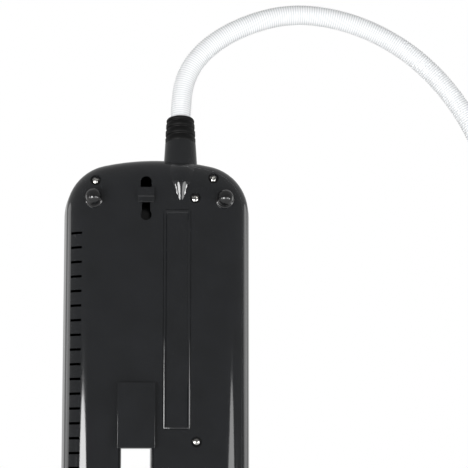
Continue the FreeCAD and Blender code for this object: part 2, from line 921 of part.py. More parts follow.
# Spout fittings: the barb, the ribbed rubber cuff round it and the riser's seal
barb = size("barb_radius")
neck_top = size("neck_length")
hose_start = neck_top + 10
cuff_end = neck_top + size("cuff_length")
barb_section = [
    (size("barb_bore"), Size.of(-3.0)),
    (size("neck_bore") - gap, Size.of(-3.0)),
    (size("neck_bore") - gap, neck_top),
    (barb, neck_top),
    (barb, size("barb_length") - 14),
    (barb - 0.7, size("barb_length") - 14),
    (barb - 0.3, size("barb_length") - 9),
    (barb - 0.9, size("barb_length") - 9),
    (barb - 0.6, size("barb_length") - 4),
    (barb - 1.2, size("barb_length")),
    (size("barb_bore"), size("barb_length")),
]
hose_barb = turned("hose_barb_body", barb_section)
place(hose_barb, *spout_foot, across, tilt)
keep("hose_barb", hose_barb)
cuff_r = size("cuff_radius")
cuff_tip = size("cuff_tip_radius")
cuff_section = [
    (barb + gap, neck_top + 0.1),
    (cuff_r, neck_top + 0.1),
    (cuff_r, neck_top + 4.2),
    (cuff_r - 1.5, neck_top + 4.9),
    (cuff_r - 1.5, neck_top + 6.0),
    (cuff_r - 0.2, neck_top + 6.7),
    (cuff_r - 0.2, neck_top + 10.0),
    (cuff_r - 1.9, neck_top + 10.7),
    (cuff_r - 1.9, neck_top + 11.8),
    (cuff_tip + 0.2, neck_top + 12.5),
    (cuff_tip + 0.2, neck_top + 15.0),
    (cuff_tip - 1.2, neck_top + 15.6),
    (cuff_tip - 1.2, neck_top + 16.4),
    (cuff_tip, neck_top + 17.0),
    (cuff_tip, cuff_end - 2.0),
    (cuff_tip - 1.6, cuff_end - 0.4),
    (size("hose_radius") + gap, cuff_end),
    (size("hose_radius") + gap, hose_start),
    (barb + gap, hose_start),
]
hose_cuff = turned("hose_cuff_body", cuff_section)
place(hose_cuff, *spout_foot, across, tilt)
keep("hose_cuff", hose_cuff)
seal_section = [
    (size("duct_radius") + 0.05, Size.of(-11.0)),
    (size("neck_bore") - 0.05, Size.of(-11.0)),
    (size("neck_bore") - 0.05, Size.of(-4.0)),
    (size("duct_radius") + 0.05, Size.of(-4.0)),
]
duct_seal = turned("duct_seal_body", seal_section)
place(duct_seal, *spout_foot, across, tilt)
keep("duct_seal", duct_seal)


# Tubes that follow a route: straight runs joined by tangent arcs
def rounded_route(points, share=0.45, say=None):
    """A wire through the points' runs, each corner an arc as large as its runs allow."""
    edges, start, radii = [], points[0], []
    for before, corner, after in zip(points, points[1:], points[2:]):
        back, ahead = (before - corner).normalize(), (after - corner).normalize()
        half_turn = (math.pi - back.getAngle(ahead)) / 2
        reach = share * min((before - corner).Length, (after - corner).Length)
        radius = reach / math.tan(half_turn)
        radii.append(radius)
        first, last = corner + back * reach, corner + ahead * reach
        inward = (back + ahead).normalize()
        middle = corner + inward * (radius / math.cos(half_turn) - radius)
        edges.append(Part.LineSegment(start, first).toShape())
        edges.append(Part.Arc(first, middle, last).toShape())
        start = last
    edges.append(Part.LineSegment(start, points[-1]).toShape())
    if say:
        print(say, "arc radii", [round(r) for r in radii])
    return Part.Wire(edges)


def swept(route, ring):
    pipe = Part.BRepOffsetAPI.MakePipeShell(route)
    pipe.add(ring)
    pipe.build()
    pipe.makeSolid()
    return pipe.shape()


def ring_at_start(route, radius, sides=0):
    """A circle, or a polygon with that many sides, square to the start of a wire."""
    first = route.OrderedEdges[0]
    start, way = first.valueAt(first.FirstParameter), first.tangentAt(first.FirstParameter)
    if not sides:
        return Part.Wire(Part.makeCircle(radius, start, way))
    turns = [2 * math.pi * (index + 0.5) / sides for index in range(sides)]
    corners = [Vector(radius * math.cos(a), radius * math.sin(a), 0) for a in turns]
    ring = Part.makePolygon(corners + corners[:1])
    ring.Placement = FreeCAD.Placement(start, Rotation(Vector(0, 0, 1), way))
    return ring


def tube_along(route, outer, bore):
    """A round tube swept along a wire, with its bore."""
    return swept(route, ring_at_start(route, outer)).cut(swept(route, ring_at_start(route, bore)))


spout_axis = Vector(0, lean_y, lean_z)
spout_point = Vector(SIZES["spout_x"], -SIZES["spout_y"], float(spout_z))
RISER_FOOT = 88.0
duct_end = spout_point + spout_axis * -3.2
riser_points = [
    Vector(SIZES["duct_x"], -SIZES["duct_y"], RISER_FOOT),
    Vector(SIZES["duct_x"], -SIZES["duct_y"], float(spout_z) - 57.4),
    spout_point + spout_axis * -17.0,
    duct_end,
]
riser_wire = rounded_route(riser_points, 0.42)
keep(
    "riser_duct",
    plain("riser_duct_tube", tube_along(riser_wire, SIZES["duct_radius"], SIZES["duct_bore"])),
)

# Outlet hose: the free run from the cuff over its arch and down to the floor
hose_exit = spout_point + spout_axis * float(hose_start)
floor_z = SIZES["hose_radius"] + 0.3
COIL_X, COIL_Y, COIL_RADIUS, COIL_END_RADIUS = 187.0, 44.0, 98.0, 78.0
HOSE_ROUTE = [
    (18.2, -16.0, 536.0),
    (21.8, -12.0, 559.0),
    (33.5, -9.5, 578.5),
    (52.0, -8.0, 594.0),
    (77.0, -7.0, 606.5),
    (106.0, -6.0, 614.0),
    (138.0, -6.0, 612.5),
    (172.0, -6.0, 602.5),
    (205.5, -7.0, 583.0),
    (233.0, -9.0, 556.0),
    (256.0, -13.0, 520.0),
    (272.0, -19.0, 474.0),
    (281.5, -27.0, 418.0),
    (286.0, -37.0, 352.0),
    (287.0, -47.0, 284.0),
    (286.5, -56.0, 220.0),
    (286.0, -62.0, 165.0),
    (285.5, -63.5, 114.0),
    (285.2, -59.2, 66.0),
    (285.0, -35.0, 28.5),
    (285.0, 4.0, 8.3),
]
ROUTE_EXIT = Vector(18.0, -20.555, 511.723)
stretch = (hose_exit.z - floor_z) / (ROUTE_EXIT.z - floor_z)
hose_points = [hose_exit]
for x, y, z in HOSE_ROUTE:
    hose_points.append(Vector(x, y, floor_z + (z - floor_z) * stretch))
hose_points.append(Vector(COIL_X + COIL_RADIUS, COIL_Y, floor_z))
hose_wire = rounded_route(hose_points, 0.45, "hose run")


def stations(route, pitch, plain_end):
    """Points and directions along a wire: both ends of the plain ends, then four a rib."""
    edges = route.OrderedEdges
    total = sum(edge.Length for edge in edges)
    count = int((total - 2 * plain_end) / pitch)
    step = (total - 2 * plain_end) / count
    marks = [(0.0, 0)]
    for index in range(count):
        low = plain_end + index * step
        for share, raised in ((0.0, 0), (0.12, 1), (0.36, 1), (0.48, 0)):
            marks.append((low + share * step, raised))
    marks += [(total - plain_end, 0), (total, 0)]
    found = []
    for mark, raised in marks:
        left = mark
        for edge in edges:
            if left <= edge.Length + 1e-6:
                break
            left -= edge.Length
        at = edge.getParameterByLength(min(left, edge.Length))
        found.append((edge.valueAt(at), edge.tangentAt(at), raised))
    return found, count


def ribbed_hose(route, pitch, plain_end, steady):
    """A corrugated hose: a ruled loft through rings whose start stays on one side."""
    found, count = stations(route, pitch, plain_end)
    rings = []
    for centre, way, raised in found:
        radius = SIZES["hose_radius"] if raised else SIZES["hose_valley_radius"]
        turn = Rotation(steady, Vector(), way, "ZXY")
        ring = Part.makeCircle(radius)
        ring.Placement = FreeCAD.Placement(centre, turn)
        rings.append(Part.Wire(ring))
    outside = Part.makeLoft(rings, True, True)
    return outside, count


hose_outside, rib_count = ribbed_hose(hose_wire, SIZES["rib_pitch"], SIZES["hose_radius"] * 2, Vector(0, 1, 0))
hose_bore = swept(hose_wire, ring_at_start(hose_wire, SIZES["hose_bore_radius"]))
hose_solid = hose_outside.cut(hose_bore)
keep("hose_run", plain("hose_run_tube", hose_solid))
print("hose run", round(hose_wire.Length, 1), "mm", rib_count, "ribs, volume", round(hose_solid.Volume))

# Coil of the length put away: one layer that spirals in on the floor beside the filter
# Four quarter arcs make the turn, and a tighter arc brings the end in under no other turn.
ARCS_PER_TURN = 4
END_ARC_RADIUS = 66.0
END_ARC_ANGLE = 50.0
coil_edges = []
shrink = (COIL_RADIUS - COIL_END_RADIUS) / ARCS_PER_TURN
hub = Vector(COIL_X, COIL_Y, floor_z)
heading, radius = 0.0, COIL_RADIUS
bends = [(radius - shrink * index, 90.0) for index in range(ARCS_PER_TURN)]
bends.append((END_ARC_RADIUS, END_ARC_ANGLE))
for bend, degrees in bends:
    outward = Vector(math.cos(heading), math.sin(heading), 0)
    hub = hub + outward * (radius - bend)
    radius = bend
    angles = [heading + math.radians(degrees) * share for share in (0, 0.5, 1)]
    around = [hub + Vector(math.cos(a), math.sin(a), 0) * radius for a in angles]
    coil_edges.append(Part.Arc(*around).toShape())
    heading = angles[-1]
coil_tail = around[-1]
coil_wire = Part.Wire(coil_edges)
COIL_SIDES = 16
coil_solid = swept(coil_wire, ring_at_start(coil_wire, SIZES["hose_radius"], COIL_SIDES))
keep("hose_coil", plain("hose_coil_tube", coil_solid))
coil_marks = coil_wire.discretize(200)
near = min(
    (a - b).Length
    for i, a in enumerate(coil_marks)
    for b in coil_marks[i + 40 :]
)
print("coil", round(coil_wire.Length, 1), "mm, least gap", round(near - 2 * SIZES["hose_radius"], 2))

# Hose end fitting: a threaded return nozzle pushed into the hose
end_way = Vector(-math.sin(heading), math.cos(heading), 0)
nozzle_bore = 4.6
nozzle_profile = [
    (nozzle_bore, 0.1),
    (8.2, 0.1),
    (8.2, 9.0),
    (7.4, 10.5),
    (7.4, 13.0),
    (6.6, 14.0),
    (5.8, 34.0),
    (nozzle_bore, 34.0),
]
nozzle_face = Part.Face(Part.makePolygon([Vector(r, 0, l) for r, l in nozzle_profile + nozzle_profile[:1]]))
nozzle = nozzle_face.revolve(Vector(), Vector(0, 0, 1), 360)
nozzle.Placement = FreeCAD.Placement(coil_tail, Rotation(Vector(0, 0, 1), end_way))
keep("return_nozzle", plain("return_nozzle_body", nozzle))

# Media door, its gasket, pin and latch
plate = box(
    "door_plate",
    (-door_half, door_half),
    (door_back, door_face),
    (door_bottom, door_top),
)
plug = box(
    "door_plug",
    (-door_half + door_lip + size("gasket_width") - 3.6, door_half - door_lip - 0.8),
    (inside, door_back + 0.1),
    (door_bottom + door_lip + 0.8, door_top - door_lip - 0.8),
)
plug_hollow = box(
    "door_plug_hollow",
    (-door_half + door_lip + 4, door_half - door_lip - 4),
    (inside - 1, door_back),
    (door_bottom + door_lip + 4, door_top - door_lip - 4),
)
door_knuckle_low = door_bottom + 8 + KNUCKLE + 0.4
door_knuckle_length = door_length - 2 * (KNUCKLE + 8.4)
door_knuckle = rod(
    "door_knuckle",
    size("hinge_radius"),
    (hinge_x, hinge_y, door_knuckle_low),
    door_knuckle_length,
)
door_web = box(
    "door_web",
    (hinge_x, -door_half + 1),
    (door_back, door_face),
    (door_knuckle_low, door_knuckle_low + door_knuckle_length),
)
latch_half = size("latch_width") / 2
rails = [
    box(
        f"rail_{i}",
        (door_half - 20, door_half - 2),
        (door_face - 0.1, door_face + 3.4),
        (latch_z + low, latch_z + high),
    )
    for i, (low, high) in enumerate(((-latch_half - 2.2, -latch_half - 0.2), (latch_half + 0.2, latch_half + 2.2)))
]
door_pin_bore = rod(
    "door_pin_bore",
    size("hinge_pin_radius") + 0.05,
    (hinge_x, hinge_y, door_bottom),
    door_length,
)
door_form = fuse("door_form", plate, plug, door_knuckle, door_web, *rails)
keep("media_door", cut("media_door_cut", door_form, plug_hollow, door_pin_bore))
gasket_out = box(
    "gasket_out",
    (-door_half + 1, door_half - 1),
    (door_back - size("gasket_thickness"), door_back),
    (door_bottom + 1, door_top - 1),
)
gasket_in = box(
    "gasket_in",
    (-door_half + 1 + size("gasket_width"), door_half - 1 - size("gasket_width")),
    (door_back - size("gasket_thickness") - 1, door_back + 1),
    (door_bottom + 1 + size("gasket_width"), door_top - 1 - size("gasket_width")),
)
keep("door_gasket", cut("door_gasket_cut", gasket_out, gasket_in))
hinge_pin = rod(
    "hinge_pin_rod",
    size("hinge_pin_radius"),
    (hinge_x, hinge_y, door_bottom + 7),
    door_length - 14,
)
keep("hinge_pin", hinge_pin)
# The latch lies drawn back, clear of the keeper; it slides towards +X to lock.
latch_end = keeper_x + 2.2 - size("latch_travel")
latch_side = door_half - 1 - size("latch_travel")
latch_body = box(
    "latch_body",
    (latch_side - 14, latch_side),
    (door_face + 0.1, door_face + 3.2),
    (latch_z - latch_half, latch_z + latch_half),
)
latch_tongue = box(
    "latch_tongue",
    (latch_side - 1, latch_end),
    (door_face + 0.2, door_face + 2.2),
    (latch_z - tongue_half, latch_z + tongue_half),
)
latch_grips = [
    box(
        f"latch_grip_{i}",
        (latch_side - 12 + 3.0 * i, latch_side - 10.6 + 3.0 * i),
        (door_face + 3.0, door_face + 4.2),
        (latch_z - latch_half + 1.5, latch_z + latch_half - 1.5),
    )
    for i in range(4)
]
keep("door_latch", fuse("door_latch_fuse", latch_body, latch_tongue, *latch_grips))

# Media basket with its shelves, and the media that lie in it
basket_back = -size("basket_back")
basket_front = size("basket_front")
thin = size("basket_wall")
basket_block = box(
    "basket_block",
    (-basket_half, basket_half),
    (basket_back, basket_front),
    (basket_low, basket_high),
)
basket_rooms = []
room_high = basket_high - basket_low
shelf_levels = [basket_low + thin] + [basket_low + room_high * share for share in (0.344, 0.656, 0.828)]
shelf_tops = [level - thin for level in shelf_levels[1:]] + [basket_high + 1]
for index, (low, high) in enumerate(zip(shelf_levels, shelf_tops)):
    basket_rooms.append(
        box(
            f"basket_room_{index}",
            (-basket_half + thin, basket_half - thin),
            (basket_back + thin, basket_front + 1),
            (low, high),
        )
    )
GRATE_SLOTS = 6
grate = [
    box(
        f"grate_{i}",
        (basket_half * ((i + 0.5) / 3 - 1), basket_half * ((i + 1) / 3 - 1)),
        (basket_back + 5, basket_front - 5),
        (basket_low - 1, shelf_levels[3] + 1),
    )
    for i in range(GRATE_SLOTS)
]
keep("media_basket", cut("media_basket_cut", basket_block, *basket_rooms, *grate))
soft_gap = 0.3


def media_block(name, index, height):
    low = shelf_levels[index]
    return box(
        name,
        (-basket_half + thin + soft_gap, basket_half - thin - soft_gap),
        (basket_back + thin + soft_gap, basket_front - 0.5),
        (low + soft_gap * 0.5, low + height),
    )


# Ceramic rings stand in the lowest room: two layers of three by two
ring_room_x = 2 * (float(basket_half) - SIZES["basket_wall"])
ring_room_y = SIZES["basket_back"] + SIZES["basket_front"] - SIZES["basket_wall"]
ring_room_z = float(shelf_tops[0] - shelf_levels[0])
RING_RADIUS = min(ring_room_x / 6, ring_room_y / 4) - 1.2
RING_BORE = RING_RADIUS * 0.43
RING_LENGTH = ring_room_z / 2 - 0.6
rings = []
for level in range(2):
    for column in range(3):
        for line in range(2):
            x = ring_room_x * (column - 1) / 3
            y = SIZES["basket_wall"] - SIZES["basket_back"] + ring_room_y * (line + 0.5) / 2
            z = float(shelf_levels[0]) + 0.15 + level * (RING_LENGTH + 0.1)
            ring = Part.makeCylinder(RING_RADIUS, RING_LENGTH, Vector(x, y, z))
            rings.append(ring.cut(Part.makeCylinder(RING_BORE, RING_LENGTH, Vector(x, y, z))))
keep("ceramic_rings", plain("ceramic_rings_set", Part.makeCompound(rings)))
keep("coarse_sponge", media_block("coarse_sponge_block", 1, (shelf_tops[1] - shelf_levels[1]) * 0.95))
keep("carbon_pad", media_block("carbon_pad_block", 2, (shelf_tops[2] - shelf_levels[2]) * 0.8))
keep("fine_floss", media_block("fine_floss_block", 3, (shelf_tops[3] - shelf_levels[3]) * 0.8))
foam = box(
    "prefilter_foam_block",
    (-slot_inner + 0.6, -slot_inner + 10.6),
    (-inside + 8, Size.of(8.0)),
    (base_level + soft_gap, slot_top + 8),
)
keep("prefilter_foam", foam)

# Pump: a sealed motor on the base plate, its rotor, and the volute that feeds the riser
pump_x = duct_x
pump_y = -size("pump_y")
motor_low = base_level
motor_high = base_level + size("motor_height")
motor_wall = size("motor_wall")
well = size("rotor_radius") + size("rotor_gap")
motor_half_x = size("motor_width") / 2
motor_half_y = size("motor_depth") / 2
motor_block = box(
    "motor_block",
    (pump_x - motor_half_x, pump_x + motor_half_x),
    (pump_y - motor_half_y, pump_y + motor_half_y),
    (motor_low, motor_high),
)
motor_room = box(
    "motor_room",
    (pump_x - motor_half_x + motor_wall, pump_x + motor_half_x - motor_wall),
    (pump_y - motor_half_y + motor_wall, pump_y + motor_half_y - motor_wall),
    (motor_low + motor_wall, motor_high - motor_wall),
)
well_tube = rod("well_tube", well + 1.4, (pump_x, pump_y, motor_low + 1), size("motor_height") - 1)
well_bore = rod("well_bore", well, (pump_x, pump_y, motor_low + 6), size("motor_height"))
motor_shell = cut("motor_shell", motor_block, motor_room)
motor_full = fuse("motor_full", motor_shell, well_tube)
keep("motor_case", cut("motor_case_cut", motor_full, well_bore))
stator_block = box(
    "stator_core",
    (pump_x - motor_half_x + motor_wall + 1, pump_x + motor_half_x - motor_wall - 1),
    (pump_y - motor_half_y + motor_wall + 1, pump_y + motor_half_y - motor_wall - 1),
    (motor_low + motor_wall + 0.2, motor_low + motor_wall + 44.0),
)
stator_hole = rod("stator_hole", well + 1.7, (pump_x, pump_y, motor_low), size("motor_height"))
keep("stator_block", cut("stator_block_cut", stator_block, stator_hole))
impeller_low = motor_high + 1.0
volute_low = motor_high
volute_inner = size("impeller_radius") + 2.4
volute_outer = volute_inner + 2.4
volute_high = impeller_low + size("impeller_height") + 1.2
volute = rod("volute", volute_outer, (pump_x, pump_y, volute_low), volute_high + 2.4 - volute_low)
volute_room = rod("volute_room", volute_inner, (pump_x, pump_y, volute_low - 1), volute_high - volute_low + 1)
inlet_tube = rod("inlet_tube", Size.of(9.0), (pump_x, pump_y, volute_high), Size.of(12.0))
inlet_bore = rod("inlet_bore", Size.of(7.2), (pump_x, pump_y, volute_high - 1), Size.of(20.0))
outlet_z = volute_low + 6.0
outlet_arm = rod("outlet_arm", Size.of(5.2), (pump_x, -size("duct_y"), outlet_z), Size.of(16.0), "y")
outlet_arm_bore = rod("outlet_arm_bore", Size.of(3.9), (pump_x, -size("duct_y"), outlet_z), Size.of(17.0), "y")
cup_low = outlet_z - 5.8
outlet_cup = rod("outlet_cup", size("duct_radius") + 2.0, (duct_x, -size("duct_y"), cup_low), RISER_FOOT + 12.0 - cup_low)
outlet_cup_bore = rod("outlet_cup_bore", size("duct_bore"), (duct_x, -size("duct_y"), cup_low + 1.5), Size.of(60.0))
outlet_cup_seat = rod("outlet_cup_seat", size("duct_radius") + 0.1, (duct_x, -size("duct_y"), Size.of(RISER_FOOT)), Size.of(40.0))
spider = box("spider", (pump_x - 8, pump_x + 8), (pump_y - 1.2, pump_y + 1.2), (volute_high + 3, volute_high + 8))
bush_boss = rod("bush_boss", Size.of(4.4), (pump_x, pump_y, volute_high + 3), Size.of(5.0))
bush_bore = rod("bush_bore", Size.of(2.9), (pump_x, pump_y, volute_high + 2), Size.of(5.0))
volute_body = fuse("volute_body", volute, inlet_tube, outlet_arm, outlet_cup)
volute_open = cut("volute_open", volute_body, volute_room, inlet_bore, outlet_arm_bore, outlet_cup_bore, outlet_cup_seat)
volute_full = fuse("volute_full", volute_open, spider, bush_boss)
keep("pump_cover", cut("pump_cover_cut", volute_full, bush_bore))
shaft_low = motor_low + 7.0
shaft_high = volute_high + 6.6
shaft_radius = size("shaft_radius")
keep("rotor_shaft", rod("rotor_shaft_rod", shaft_radius, (pump_x, pump_y, shaft_low), shaft_high - shaft_low))
bush_tube = rod("bush_low_tube", Size.of(4.0), (pump_x, pump_y, motor_low + 6), Size.of(5.0))
bush_low_bore = rod("bush_low_bore", shaft_radius + 0.03, (pump_x, pump_y, shaft_low), Size.of(5.0))
keep("lower_bush", cut("lower_bush_cut", bush_tube, bush_low_bore))
bush_up_tube = rod("bush_up_tube", Size.of(2.87), (pump_x, pump_y, volute_high + 2.6), Size.of(4.4))
bush_up_bore = rod("bush_up_bore", shaft_radius + 0.03, (pump_x, pump_y, volute_high + 1), Size.of(7.0))
keep("upper_bush", cut("upper_bush_cut", bush_up_tube, bush_up_bore))
magnet_low = motor_low + 13.0
magnet = rod("magnet_rod", size("rotor_radius"), (pump_x, pump_y, magnet_low), Size.of(36.0))
magnet_bore = rod("magnet_bore", shaft_radius + 0.06, (pump_x, pump_y, magnet_low - 1), Size.of(40.0))
keep("rotor_magnet", cut("rotor_magnet_cut", magnet, magnet_bore))
hub = rod("hub", Size.of(4.6), (pump_x, pump_y, magnet_low + 36.0), impeller_low + size("impeller_height") - magnet_low - 36.0)
disc = rod("disc", size("impeller_radius") - 1, (pump_x, pump_y, impeller_low), Size.of(1.6))
hub_bore = rod("hub_bore", shaft_radius + 0.06, (pump_x, pump_y, magnet_low), Size.of(80.0))
BLADES = 6
blade_list = []
blade_reach = SIZES["impeller_radius"] - 3.6
for index in range(BLADES):
    blade = Part.makeBox(
        blade_reach,
        1.4,
        SIZES["impeller_height"] - 1.2,
        Vector(3.6, -0.7, float(impeller_low) + 1.2),
    )
    blade.rotate(Vector(0, 0, 0), Vector(0, 0, 1), 360.0 * index / BLADES)
    blade.translate(Vector(float(pump_x), float(pump_y), 0))
    blade_list.append(plain(f"blade_{index}", blade))
impeller_form = fuse("impeller_form", hub, disc, *blade_list)
keep("impeller", cut("impeller_cut", impeller_form, hub_bore))

# Cable gland: the rubber grommet where the mains lead enters, low on the wall face
gland_body = rod("gland_body", Size.of(GLAND_RADIUS), (GLAND_X, -depth - 0.5, GLAND_Z), wall + 3, "y")
gland_flange = rod("gland_flange", Size.of(8.0), (GLAND_X, -depth - 2.5, GLAND_Z), Size.of(2.5), "y")
gland_cone = tapered(
    "gland_cone",
    Size.of(6.5),
    Size.of(4.6),
    (GLAND_X, -depth - 2.0, GLAND_Z),
    Size.of(12.0),
    Vector(1, 0, 0),
    90.0,
)
gland_bore = rod("gland_bore", Size.of(3.2), (GLAND_X, -depth - 20, GLAND_Z), Size.of(30.0), "y")
gland_full = fuse("gland_full", gland_body, gland_flange, gland_cone)
keep("cable_gland", cut("cable_gland_cut", gland_full, gland_bore))

doc.recompute()
faults = [f"{o.Name}: {o.State}" for o in doc.Objects if {"Invalid", "Error"} & set(o.State)]
for name, thing in nodes.items():
    if thing.Shape.isNull() or not thing.Shape.isValid() or not thing.Shape.Solids:
        faults.append(f"{name}: no valid solid")
if faults:
    raise SystemExit("\n".join(faults))
os.makedirs("parts", exist_ok=True)
for name, thing in nodes.items():
    thing.Shape.exportStep(f"parts/{name}.step")
    bounds = thing.Shape.BoundBox
    print(name, len(thing.Shape.Solids), "solid", round(thing.Shape.Volume), "mm3", bounds)
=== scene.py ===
import bmesh
import bpy
import json
import math
from mathutils import Matrix, Vector


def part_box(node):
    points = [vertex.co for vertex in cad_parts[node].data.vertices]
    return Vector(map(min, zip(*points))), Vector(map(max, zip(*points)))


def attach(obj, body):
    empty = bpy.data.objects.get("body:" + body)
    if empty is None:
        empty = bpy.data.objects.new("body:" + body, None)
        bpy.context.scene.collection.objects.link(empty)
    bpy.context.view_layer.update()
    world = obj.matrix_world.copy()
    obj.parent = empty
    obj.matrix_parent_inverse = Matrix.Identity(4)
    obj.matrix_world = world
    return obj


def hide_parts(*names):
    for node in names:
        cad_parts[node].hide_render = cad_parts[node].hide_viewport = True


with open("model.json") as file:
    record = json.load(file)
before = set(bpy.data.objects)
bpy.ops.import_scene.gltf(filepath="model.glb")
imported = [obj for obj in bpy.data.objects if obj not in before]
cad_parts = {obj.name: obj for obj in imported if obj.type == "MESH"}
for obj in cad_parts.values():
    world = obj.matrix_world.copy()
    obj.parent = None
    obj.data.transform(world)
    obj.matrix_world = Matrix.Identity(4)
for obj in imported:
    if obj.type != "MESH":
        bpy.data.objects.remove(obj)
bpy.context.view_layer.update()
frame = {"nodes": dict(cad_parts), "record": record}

# Viewpoint: a long lens a little below the middle of the housing, looking slightly up at its wall side.
FRAME_PIXELS = 468
FOCAL_PIXELS = 1800.0
SENSOR_WIDTH = 36.0
camera_data = bpy.data.cameras.new("viewpoint")
camera_data.sensor_width = SENSOR_WIDTH
camera_data.lens = FOCAL_PIXELS / FRAME_PIXELS * SENSOR_WIDTH
camera = bpy.data.objects.new("viewpoint", camera_data)
camera.location = (-0.0208, -1.433, 0.241)
camera.rotation_euler = (math.radians(90 + 7.645), 0, math.radians(-3.307))
bpy.context.collection.objects.link(camera)
bpy.context.scene.camera = camera
bpy.context.scene.view_settings.view_transform = "Standard"

# Return hose: clear corrugated vinyl, 16.4 mm outside with a 1.2 mm wall, pushed on the barb.
# It rises out of the cuff, arches over and down beside the housing, and the length
# that is put away lies in a coil on the floor.
HOSE_RADIUS = 0.0082
HOSE_VALLEY = 0.0075
HOSE_WALL = 0.0012
RIB_PITCH = 0.0019
HOSE_SIDES = 24
COIL_STEP_DEGREES = 24
FLOOR_LINE = 0.0083
COIL_HUB = Vector((0.187, 0.044, FLOOR_LINE))
COIL_BENDS = [(0.098, 90), (0.093, 90), (0.088, 90), (0.083, 90), (0.066, 50)]
HOSE_ROUTE = [
    (0.018, -0.020555, 0.511723),
    (0.0182, -0.0160, 0.5360),
    (0.0218, -0.0120, 0.5590),
    (0.0335, -0.0095, 0.5785),
    (0.0520, -0.0080, 0.5940),
    (0.0770, -0.0070, 0.6065),
    (0.1060, -0.0060, 0.6140),
    (0.1380, -0.0060, 0.6125),
    (0.1720, -0.0060, 0.6025),
    (0.2055, -0.0070, 0.5830),
    (0.2330, -0.0090, 0.5560),
    (0.2560, -0.0130, 0.5200),
    (0.2720, -0.0190, 0.4740),
    (0.2815, -0.0270, 0.4180),
    (0.2860, -0.0370, 0.3520),
    (0.2870, -0.0470, 0.2840),
    (0.2865, -0.0560, 0.2200),
    (0.2860, -0.0620, 0.1650),
    (0.2855, -0.0635, 0.1140),
    (0.2852, -0.0592, 0.0660),
    (0.2850, -0.0350, 0.0285),
    (0.2850, 0.0040, 0.0083),
]
coil_points = []
hub, heading, radius = COIL_HUB, 0.0, COIL_BENDS[0][0]
for bend, degrees in COIL_BENDS:
    hub = hub + Vector((math.cos(heading), math.sin(heading), 0)) * (radius - bend)
    radius = bend
    steps = round(degrees / COIL_STEP_DEGREES)
    half_step = math.radians(degrees) / steps / 2
    for index in range(steps):
        turn = heading + half_step * (2 * index + 1)
        reach = radius / math.cos(half_step)
        coil_points.append(hub + Vector((math.cos(turn), math.sin(turn), 0)) * reach)
    heading += math.radians(degrees)
coil_tail = hub + Vector((math.cos(heading), math.sin(heading), 0)) * radius
hose_points = [Vector(point) for point in HOSE_ROUTE] + coil_points + [coil_tail]
hose_line = bpy.data.curves.new("hose_line", "CURVE")
hose_line.dimensions = "3D"
hose_line.resolution_u = 24
spline = hose_line.splines.new("NURBS")
spline.points.add(len(hose_points) - 1)
for knot, point in zip(spline.points, hose_points):
    knot.co = (*point, 1)
spline.order_u = 3
spline.use_endpoint_u = True
line_object = bpy.data.objects.new("hose_line", hose_line)
line_mesh = bpy.data.meshes.new_from_object(line_object)
hose_path = [vertex.co.copy() for vertex in line_mesh.vertices]


def even_marks(path, spacing):
    """Points along a path at a steady spacing, each with the path's direction there."""
    marks, travelled, wanted = [], 0.0, 0.0
    for first, second in zip(path, path[1:]):
        run = (second - first).length
        while run > 0 and wanted <= travelled + run:
            point = first.lerp(second, (wanted - travelled) / run)
            marks.append((point, (second - first).normalized()))
            wanted += spacing
        travelled += run
    return marks


def add_piece(name, form, finish, body, replaced=(), crisp=38.0):
    """Makes an object of a finished bmesh, riding on a body in place of its CAD nodes."""
    mesh = bpy.data.meshes.new(name)
    for face in form.faces:
        face.smooth = True
    form.to_mesh(mesh)
    form.free()
    if crisp:
        mesh.set_sharp_from_angle(angle=math.radians(crisp))
    piece = bpy.data.objects.new(name, mesh)
    bpy.context.collection.objects.link(piece)
    piece.data.materials.append(finish)
    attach(piece, body)
    if replaced:
        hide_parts(*replaced)
    return piece


def linear(hex_colour):
    """A colour that is written as an sRGB hex value, in the linear values that nodes take."""
    parts = [int(hex_colour[i : i + 2], 16) / 255 for i in (0, 2, 4)]
    return [p / 12.92 if p <= 0.04045 else ((p + 0.055) / 1.055) ** 2.4 for p in parts] + [1.0]


def add_node(tree, kind, settings=None, links=None):
    """Adds a node: settings are its properties or unlinked inputs, links feed its inputs."""
    node = tree.nodes.new(kind)
    for name, value in (settings or {}).items():
        if name in node.inputs.keys():
            node.inputs[name].default_value = value
        else:
            setattr(node, name, value)
    for name, output in (links or {}).items():
        tree.links.new(output, node.inputs[name])
    return node


def new_finish(name, **values):
    """A material whose shader starts from plain values on its own sockets."""
    finish = bpy.data.materials.new(name)
    finish.use_nodes = True
    shader = finish.node_tree.nodes["Principled BSDF"]
    for socket, value in values.items():
        shader.inputs[socket.replace("_", " ")].default_value = value
    return finish, finish.node_tree, shader


# Clear flexible vinyl, extruded and corrugated: a milky, hazy wall. Painted shade colours the valleys
# between its ribs greyer than their crests.
clear_vinyl, tree, shader = new_finish(
    "clear_flexible_vinyl", Roughness=0.5, IOR=1.45, Transmission_Weight=0.3
)
place = add_node(tree, "ShaderNodeTexCoord")
haze = add_node(
    tree, "ShaderNodeTexNoise", {"Scale": 140.0, "Detail": 2.0}, {"Vector": place.outputs["Object"]}
)
tint = add_node(tree, "ShaderNodeValToRGB", links={"Fac": haze.outputs["Fac"]})
tint.color_ramp.elements[0].color = linear("F9FAFB")
tint.color_ramp.elements[1].color = linear("FEFEFE")
crest = add_node(tree, "ShaderNodeAttribute", {"attribute_name": "crest"})
MIX_FROM, MIX_TO, MIX_RESULT = 6, 7, 2
# Painted shade: the crest mark mixes the grey CFD2D4 into the valleys and keeps the crests pale.
painted_valley_shade = add_node(tree, "ShaderNodeMix", {"data_type": "RGBA"}, {0: crest.outputs["Fac"]})
painted_valley_shade.inputs[MIX_FROM].default_value = linear("CFD2D4")
tree.links.new(tint.outputs["Color"], painted_valley_shade.inputs[MIX_TO])
tree.links.new(painted_valley_shade.outputs[MIX_RESULT], shader.inputs["Base Color"])

